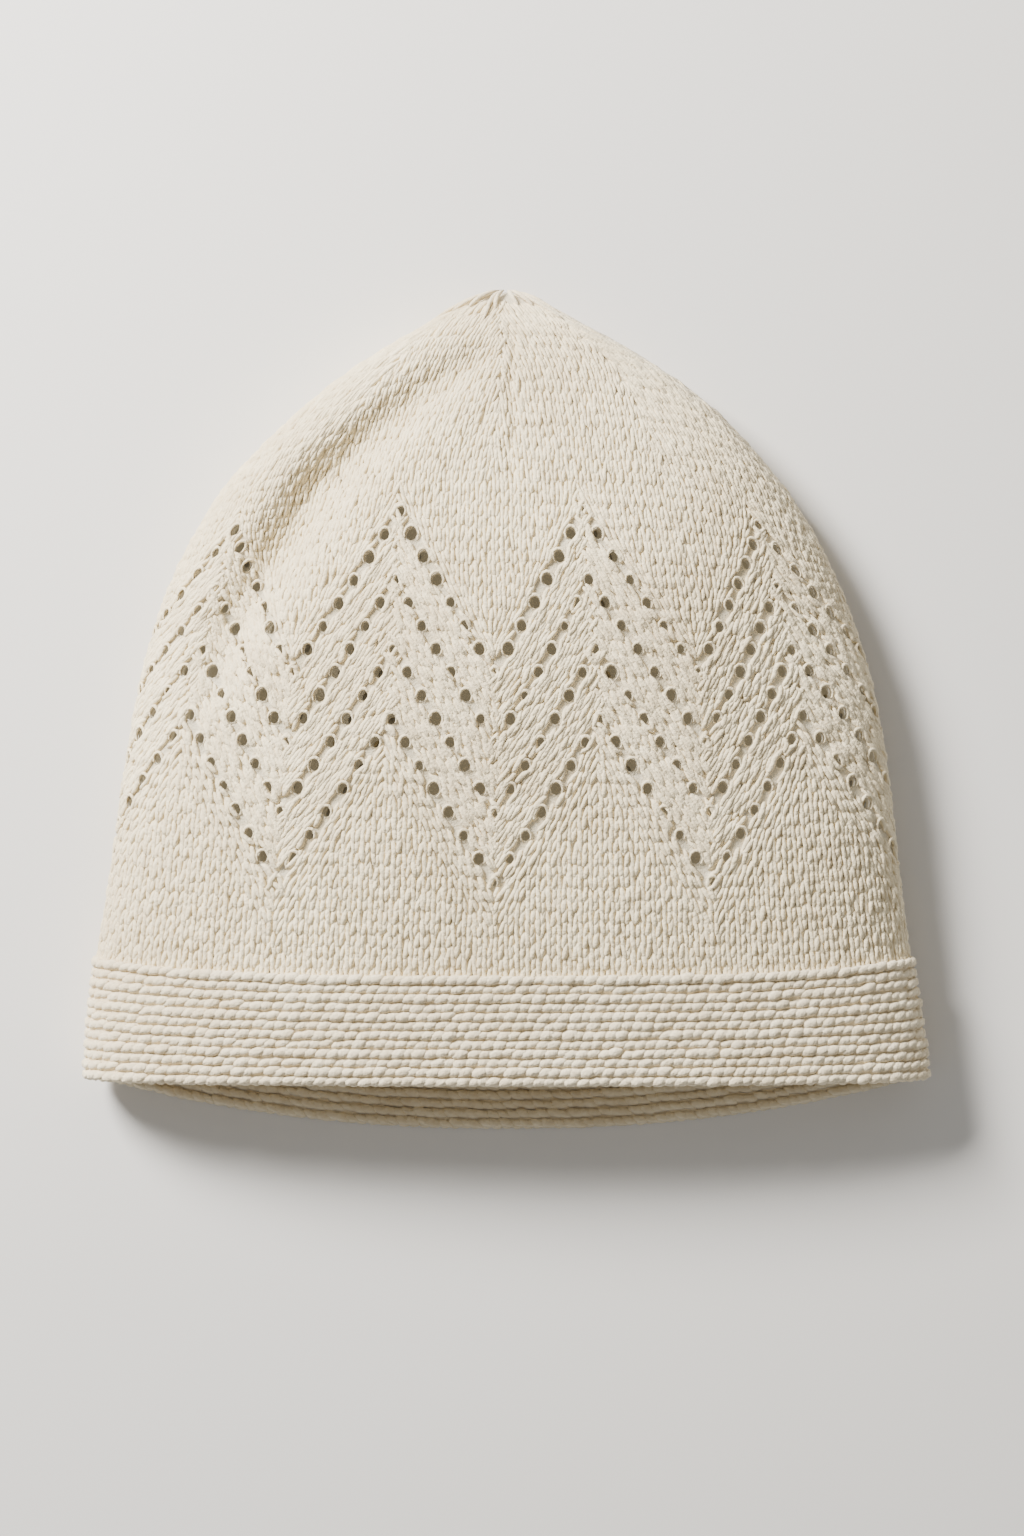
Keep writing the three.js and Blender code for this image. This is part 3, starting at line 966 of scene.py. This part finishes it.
# Drawn tight at the tip: the fuzz lies closer, so the strands look a little smoother
def gathered_cotton(colours):
    name = "cream cotton yarn, drawn tight"
    return cotton_yarn(name, colours.band_light, colours.band_dark, PLY_MM, TIGHT_FUZZ_MM)


# The cloth behind the yarn: painted shade and painted light. It is coloured darker than the yarn to stand for
# the shade in the gaps between stitches. It also emits a weak light in place of light that comes through thin
# knitting and warms its gaps
def lining_cotton_painted_shade(colours):
    name = "cotton cloth behind the yarn, painted shade and light"
    return cotton_yarn(name, colours.cloth_light_painted_shade, colours.cloth_dark_painted_shade, PLY_MM, TIGHT_FUZZ_MM, CLOTH_PAINTED_GLOW)


# Knitted in ridges: the yarn stands out in rows and looks thicker and fuzzier
def band_cotton(colours):
    name = "cream cotton yarn, knitted in ridges"
    return cotton_yarn(name, colours.band_light, colours.band_dark, BAND_PLY_MM, BAND_FUZZ_MM)


# Sizes and colours that a user would change


class KufiKnitting(bpy.types.PropertyGroup):
    """Sizes of the yarn, the eyelets, the crease and the ridges, in millimetres"""

    yarn_radius: bpy.props.FloatProperty(
        name="Yarn radius",
        description="Half the thickness of the yarn, in millimetres",
        default=0.76,
        min=0.3,
        max=1.2,
    )
    hole_width: bpy.props.FloatProperty(
        name="Eyelet half width",
        description="Half the width of an eyelet, in millimetres",
        default=1.2,
        min=0.4,
        max=1.6,
    )
    hole_height: bpy.props.FloatProperty(
        name="Eyelet half height",
        description="Half the height of an eyelet, in millimetres",
        default=1.5,
        min=0.4,
        max=2.0,
    )
    crease: bpy.props.FloatProperty(
        name="Crease depth",
        description="Depth of the crease in the crown, in millimetres",
        default=0.8,
        min=0,
        max=2,
    )
    ridge_radius: bpy.props.FloatProperty(
        name="Ridge radius",
        description="Half the height of a ridge of the band, in millimetres",
        default=1.19,
        min=0.6,
        max=1.4,
    )


class KufiColours(bpy.types.PropertyGroup):
    """Colours of the yarn, of the cloth behind it and of the table"""

    body_light: bpy.props.StringProperty(
        name="Body, light",
        description="Lightest yarn of the body, an sRGB hex colour",
        default="#FAEBC6",
    )
    body_dark: bpy.props.StringProperty(
        name="Body, dark",
        description="Darkest yarn of the body, an sRGB hex colour",
        default="#E0CFAA",
    )
    # Painted shade: the cloth is coloured darker than the yarn of the same cotton, for the shade between the
    # stitches
    cloth_light_painted_shade: bpy.props.StringProperty(
        name="Cloth, light",
        description="Lightest part of the cloth behind the yarn, an sRGB hex colour",
        default="#D6CCB4",
    )
    cloth_dark_painted_shade: bpy.props.StringProperty(
        name="Cloth, dark",
        description="Darkest part of the cloth behind the yarn, an sRGB hex colour",
        default="#C2B698",
    )
    band_light: bpy.props.StringProperty(
        name="Band, light",
        description="Lightest yarn of the band, an sRGB hex colour",
        default="#F6E8C8",
    )
    band_dark: bpy.props.StringProperty(
        name="Band, dark",
        description="Darkest yarn of the band, an sRGB hex colour",
        default="#E0CFAC",
    )
    table: bpy.props.StringProperty(
        name="Table",
        description="The pale table, an sRGB hex colour",
        default="#E6E4E0",
    )


# Operators, one for each piece or group of like pieces


class KUFI_OT_body_cloth(bpy.types.Operator):
    """Makes the cloth behind the stitches of the body, with every eyelet cut through it"""

    bl_idname = "kufi.body_cloth"
    bl_label = "Body cloth"

    def execute(self, context):
        sizes = context.scene.kufi_knitting
        rows = np.concatenate([[CLOTH_LOWEST_ROW], np.arange(1, 2 * BODY_ROWS - 1) / 2])
        net = np.broadcast_arrays(np.arange(CLOTH_COLUMNS) / 2, rows[:, None])
        stitch, row = (part.copy() for part in net)
        holes = cut_eyelets(stitch, row, sizes)
        course = course_of_row(row)
        outer, out = SURFACE.place(course, stitch, np.full(stitch.shape, -CLOTH_DEPTH))
        outer -= out * (crease_at(outer) * sizes.crease)[..., None]
        thin = np.clip((BODY_ROWS - row) / 3, 0.4, 1)
        inner, _ = SURFACE.place(course, stitch, -CLOTH_DEPTH - CLOTH_THICKNESS * thin)
        points, index, quads, rim = double_net(outer, inner)
        layer = index.size
        keep = np.ones(quads.shape[:2], bool)
        walls = []
        for m, k, ring in holes:
            for a in (m - 1, m):
                for b in (k - 1, k):
                    keep[a, b % CLOTH_COLUMNS] = False
            ids = [index[a, b] for a, b in ring]
            for a, b in zip(ids, ids[1:] + ids[:1]):
                walls.append((a, a + layer, b + layer, b))
        cloth = quads[keep]
        tips = [(0, TIP_LINE - short, TIP_HEIGHT) for short in CLOTH_TIP]
        points = np.concatenate([points, tips])
        apex = np.full(CLOTH_COLUMNS, len(points) - 2)
        top = index[-1]
        after = np.roll(top, -1)
        closed_outside = np.stack([top, after, apex], axis=-1)
        closed_inside = np.stack([after + layer, top + layer, apex + 1], axis=-1)
        piece = piece_object(
            "body_cloth",
            rest_on_table(points, STITCH_PRESS),
            [cloth, cloth[:, ::-1] + layer, rim, np.array(walls), closed_outside, closed_inside],
            lining_cotton_painted_shade(context.scene.kufi_colours),
        )
        drop_loose_points(piece)
        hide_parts("knitted_body")
        return {"FINISHED"}


class KUFI_OT_body_stitches(bpy.types.Operator):
    """Knits the body and the crown over the cloth, two legs of yarn to a stitch"""

    bl_idname = "kufi.body_stitches"
    bl_label = "Body stitches"

    def execute(self, context):
        sizes = context.scene.kufi_knitting
        colours = context.scene.kufi_colours
        cells = np.concatenate([plain_cells(), lace_cells()])
        crown = crown_cells()
        on_front = cells[:, 0] < FRONT_STITCHES
        left = cells[:, 0] < FRONT_STITCHES / 2
        back_left = cells[:, 0] > FRONT_STITCHES + BACK_STITCHES / 2
        crown_front = crown[:, 0] < FRONT_STITCHES
        # Piece, its stitches, sides and rings of each leg, seed
        groups = (
            ("stitches_front_left", cells[on_front & left], 5, 6, 11),
            ("stitches_front_right", cells[on_front & ~left], 5, 6, 12),
            ("stitches_back_left", cells[~on_front & back_left], 4, 5, 13),
            ("stitches_back_right", cells[~on_front & ~back_left], 4, 5, 14),
            ("stitches_crown_front", crown[crown_front], 5, 6, 15),
            ("stitches_crown_back", crown[~crown_front], 4, 5, 16),
        )
        for name, group, sides, rings, seed in groups:
            points, faces = yarn_pods(*knitted_legs(group, sizes, rings, seed), sides)
            points = rest_on_table(points, STITCH_PRESS)
            piece_object(name, points, faces, body_cotton(colours))
        points, faces = yarn_pods(*yarn_overs(sizes, seed=21), sides=5)
        points = rest_on_table(points, STITCH_PRESS)
        piece_object("eyelet_loops", points, faces, body_cotton(colours))
        points, faces = yarn_pods(*gathered_strands(sizes, seed=22), sides=6)
        piece_object("gathered_tip", points, faces, gathered_cotton(colours))
        return {"FINISHED"}


class KUFI_OT_band_cloth(bpy.types.Operator):
    """Makes the cloth of the brim band, between its ridges outside and inside"""

    bl_idname = "kufi.band_cloth"
    bl_label = "Band cloth"

    def execute(self, context):
        levels = np.linspace(*BAND_CLOTH_ENDS, BAND_RIDGES + 1)
        stitch, course = np.broadcast_arrays(np.arange(CLOTH_COLUMNS) / 2, levels[:, None])
        outer, _ = SURFACE.place(course, stitch, np.full(stitch.shape, BAND_CLOTH_OUTSIDE))
        inner, _ = SURFACE.place(course, stitch, np.full(stitch.shape, BAND_CLOTH_INSIDE))
        points, index, quads, rim = double_net(outer, inner)
        layer = index.size
        after = np.roll(index[-1], -1)
        top = np.stack([index[-1], after, after + layer, index[-1] + layer], axis=-1)
        cloth = quads.reshape(-1, 4)
        piece = piece_object(
            "band_cloth",
            rest_on_table(points, BAND_CLOTH_PRESS),
            [cloth, cloth[:, ::-1] + layer, rim, top],
            band_cotton(context.scene.kufi_colours),
        )
        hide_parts("brim_band")
        return {"FINISHED"}


class KUFI_OT_band_ridges(bpy.types.Operator):
    """Knits the band's twelve rope-like ridges outside and inside, and its rim"""

    bl_idname = "kufi.band_ridges"
    bl_label = "Band ridges"

    def execute(self, context):
        sizes = context.scene.kufi_knitting
        cotton = band_cotton(context.scene.kufi_colours)
        outside = ridge_bumps(sizes, inside=False, seed=31)
        strands = [np.concatenate(pair) for pair in zip(outside, rim_bumps(sizes, seed=33))]
        points, faces = yarn_pods(*strands, sides=6)
        piece_object("band_ridges_outside", rest_on_table(points, RIDGE_PRESS), faces, cotton)
        points, faces = yarn_pods(*ridge_bumps(sizes, inside=True, seed=32), sides=5)
        piece_object("band_ridges_inside", rest_on_table(points, RIDGE_PRESS), faces, cotton)
        return {"FINISHED"}


class KUFI_OT_studio(bpy.types.Operator):
    """Sets the pale table, the soft light from the upper left and the camera straight above"""

    bl_idname = "kufi.studio"
    bl_label = "Table, light and camera"

    def execute(self, context):
        scene = context.scene
        # Painted board, rolled matt: pale, even and without a shine
        board = bpy.data.materials.new("painted board, matt")
        board.use_nodes = True
        shader = board.node_tree.nodes["Principled BSDF"]
        shader.inputs["Base Color"].default_value = linear(scene.kufi_colours.table)
        shader.inputs["Roughness"].default_value = 0.9
        bpy.ops.mesh.primitive_plane_add(size=TABLE_SIZE, location=(0, 0, TABLE_HEIGHT))
        table = bpy.context.active_object
        table.name = "table"
        table.data.materials.append(board)
        world = bpy.data.worlds.new("soft room light")
        world.use_nodes = True
        background = world.node_tree.nodes["Background"]
        background.inputs["Color"].default_value = ROOM_COLOUR
        background.inputs["Strength"].default_value = ROOM_LIGHT
        scene.world = world
        key = bpy.data.lights.new("soft key", "AREA")
        key.shape = "SQUARE"
        key.size = LAMP_SIZE
        key.energy = LAMP_POWER
        key.color = LAMP_COLOUR
        lamp = bpy.data.objects.new("soft key", key)
        lamp.location = LAMP_PLACE
        lamp.rotation_euler = (-lamp.location).to_track_quat("-Z", "Y").to_euler()
        scene.collection.objects.link(lamp)
        camera = bpy.data.cameras.new("camera")
        camera.sensor_fit = "VERTICAL"
        camera.sensor_height = CAMERA_SENSOR
        camera.lens = CAMERA_LENS
        eye = bpy.data.objects.new("camera", camera)
        eye.location = CAMERA_PLACE
        eye.rotation_euler = (0, 0, 0)
        scene.collection.objects.link(eye)
        scene.camera = eye
        return {"FINISHED"}


class KUFI_PT_panel(bpy.types.Panel):
    """Lists the steps that make the cap, with its sizes and colours"""

    bl_idname = "KUFI_PT_panel"
    bl_label = "Kufi cap"
    bl_space_type = "VIEW_3D"
    bl_region_type = "UI"
    bl_category = "Kufi"

    def draw(self, context):
        for operator in OPERATORS:
            self.layout.operator(operator.bl_idname)
        for group in (context.scene.kufi_knitting, context.scene.kufi_colours):
            for name in group.bl_rna.properties.keys():
                if name not in ("rna_type", "name"):
                    self.layout.prop(group, name)


OPERATORS = (
    KUFI_OT_body_cloth,
    KUFI_OT_body_stitches,
    KUFI_OT_band_cloth,
    KUFI_OT_band_ridges,
    KUFI_OT_studio,
)
CLASSES = (KufiKnitting, KufiColours) + OPERATORS + (KUFI_PT_panel,)


def register():
    for cls in CLASSES:
        bpy.utils.register_class(cls)
    bpy.types.Scene.kufi_knitting = bpy.props.PointerProperty(type=KufiKnitting)
    bpy.types.Scene.kufi_colours = bpy.props.PointerProperty(type=KufiColours)


def unregister():
    del bpy.types.Scene.kufi_colours
    del bpy.types.Scene.kufi_knitting
    for cls in reversed(CLASSES):
        bpy.utils.unregister_class(cls)


def main():
    register()
    bpy.ops.kufi.body_cloth()
    bpy.ops.kufi.body_stitches()
    bpy.ops.kufi.band_cloth()
    bpy.ops.kufi.band_ridges()
    bpy.ops.kufi.studio()


if __name__ == "__main__":
    main()
